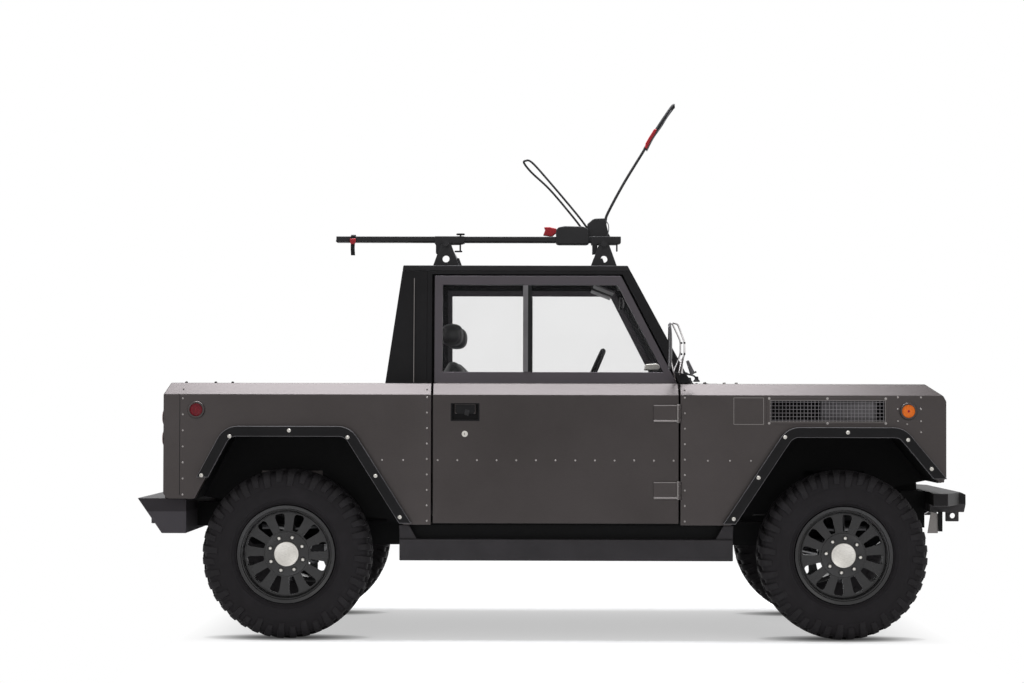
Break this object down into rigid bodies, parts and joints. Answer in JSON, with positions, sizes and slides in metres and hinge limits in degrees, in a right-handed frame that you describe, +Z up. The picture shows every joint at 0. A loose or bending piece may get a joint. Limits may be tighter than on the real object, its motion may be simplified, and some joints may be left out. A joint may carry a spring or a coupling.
{
  "type": "lifted two-door off-road utility 4x4 pickup",
  "caption": "Flat-panelled lifted off-road pickup with an open bed, tall cab, steered wheels, opening doors, hood and tailgate, and roof bars with a cycle carrier.",
  "frame": {"origin": "on the ground under the middle of the vehicle's overall length and width", "axes": "+X points forward, +Y to the vehicle's left, +Z up; the tyres stand on Z = 0"},
  "size_m": [4.017, 2.163, 2.6106],
  "materials": {
    "body_paint": "satin",
    "window_frame_paint": "satin",
    "black_trim": "textured",
    "frame_black": "semi gloss powder coat",
    "bumper_coat": "textured powder coat",
    "bare_alloy": "machined",
    "running_steel": "satin",
    "wheel_black": "satin",
    "tyre_rubber": "matt",
    "clear_glass": "polished",
    "lamp_clear": "polished",
    "lamp_red": "polished",
    "lamp_amber": "polished",
    "seat_cover": "grained",
    "cabin_trim": "textured"
  },
  "bodies": {
    "body": {"side_panel_right": "body_paint", "side_panel_left": "body_paint", "fender_right": "body_paint", "fender_left": "body_paint", "arch_flares": "black_trim", "wheel_boxes": "frame_black", "cab_pillars": "window_frame_paint", "cab_rear_wall": "black_trim", "cab_glass": "clear_glass", "roof_panel": "body_paint", "front_panel": "body_paint", "headlamps": "lamp_clear", "cowl_firewall": "body_paint", "front_tray": "frame_black", "grilles": "frame_black", "lamps_amber": "lamp_amber", "lamps_red": "lamp_red", "bed_tub": "body_paint", "chassis_frame": "frame_black", "battery_and_drives": "running_steel", "cab_floor": "frame_black", "rock_rails": "bumper_coat", "bumper_rear": "bumper_coat", "bumper_front": "bumper_coat", "skid_plate": "bare_alloy", "suspension_rear": "running_steel", "suspension_front": "running_steel", "coil_overs": "running_steel", "knuckles_rear": "running_steel", "steering_rack": "running_steel", "seat_right": "seat_cover", "seat_left": "seat_cover", "dashboard": "cabin_trim", "mirrors": "black_trim", "roof_crossbars": "frame_black", "cycle_carrier": "frame_black"},
    "door_right": {"door_right": "body_paint", "door_glass_right": "clear_glass"},
    "door_left": {"door_left": "body_paint", "door_glass_left": "clear_glass"},
    "hood": {"hood": "body_paint"},
    "tailgate": {"tailgate": "body_paint"},
    "steering_wheel": {"steering_wheel": "cabin_trim"},
    "tie_rods": {"tie_rods": "running_steel"},
    "knuckle_front_right": {"knuckle_front_right": "running_steel"},
    "knuckle_front_left": {"knuckle_front_left": "running_steel"},
    "wheel_rear_right": {"rim_rear_right": "wheel_black", "tyre_rear_right": "tyre_rubber"},
    "wheel_rear_left": {"rim_rear_left": "wheel_black", "tyre_rear_left": "tyre_rubber"},
    "wheel_front_right": {"rim_front_right": "wheel_black", "tyre_front_right": "tyre_rubber"},
    "wheel_front_left": {"rim_front_left": "wheel_black", "tyre_front_left": "tyre_rubber"}
  },
  "joints": [
    {"name": "spin_rear_right", "type": "hinge", "parent": "body", "child": "wheel_rear_right", "pos_m": [-1.289, -0.8025, 0.407], "axis": [0, 1, 0], "continuous": true},
    {"name": "steer_right", "type": "hinge", "parent": "body", "child": "knuckle_front_right", "pos_m": [1.378, -0.73, 0.407], "axis": [0, 0, 1], "range_deg": [-28, 28]},
    {"name": "spin_front_right", "type": "hinge", "parent": "knuckle_front_right", "child": "wheel_front_right", "pos_m": [1.378, -0.8025, 0.407], "axis": [0, 1, 0], "continuous": true},
    {"name": "door_right_swing", "type": "hinge", "parent": "body", "child": "door_right", "pos_m": [0.5905, -0.9805, 0.9], "axis": [0, 0, 1], "range_deg": [0, 70]},
    {"name": "spin_rear_left", "type": "hinge", "parent": "body", "child": "wheel_rear_left", "pos_m": [-1.289, 0.8025, 0.407], "axis": [0, 1, 0], "continuous": true},
    {"name": "steer_left", "type": "hinge", "parent": "body", "child": "knuckle_front_left", "pos_m": [1.378, 0.73, 0.407], "axis": [0, 0, 1], "range_deg": [-28, 28]},
    {"name": "spin_front_left", "type": "hinge", "parent": "knuckle_front_left", "child": "wheel_front_left", "pos_m": [1.378, 0.8025, 0.407], "axis": [0, 1, 0], "continuous": true},
    {"name": "door_left_swing", "type": "hinge", "parent": "body", "child": "door_left", "pos_m": [0.5905, 0.9805, 0.9], "axis": [0, 0, -1], "range_deg": [0, 70]},
    {"name": "steering_wheel_turn", "type": "hinge", "parent": "body", "child": "steering_wheel", "pos_m": [0.1805, 0.39, 1.235], "axis": [0.9163, 0, -0.4004], "range_deg": [-450, 450]},
    {"name": "rack_slide", "type": "slide", "parent": "body", "child": "tie_rods", "axis": [0, 1, 0], "range_m": [-0.045, 0.045]},
    {"name": "hood_swing", "type": "hinge", "parent": "body", "child": "hood", "pos_m": [0.7445, 0, 1.233], "axis": [0, -1, 0], "range_deg": [0, 65]},
    {"name": "tailgate_drop", "type": "hinge", "parent": "body", "child": "tailgate", "pos_m": [-1.8745, 0, 0.8], "axis": [0, -1, 0], "range_deg": [0, 90]}
  ],
  "couplings": [
    {"joint": "steer_right", "follows": "steer_left", "ratio": 1},
    {"joint": "steering_wheel_turn", "follows": "steer_left", "ratio": -16},
    {"joint": "rack_slide", "follows": "steer_left", "m_per_rad": -0.0912}
  ]
}
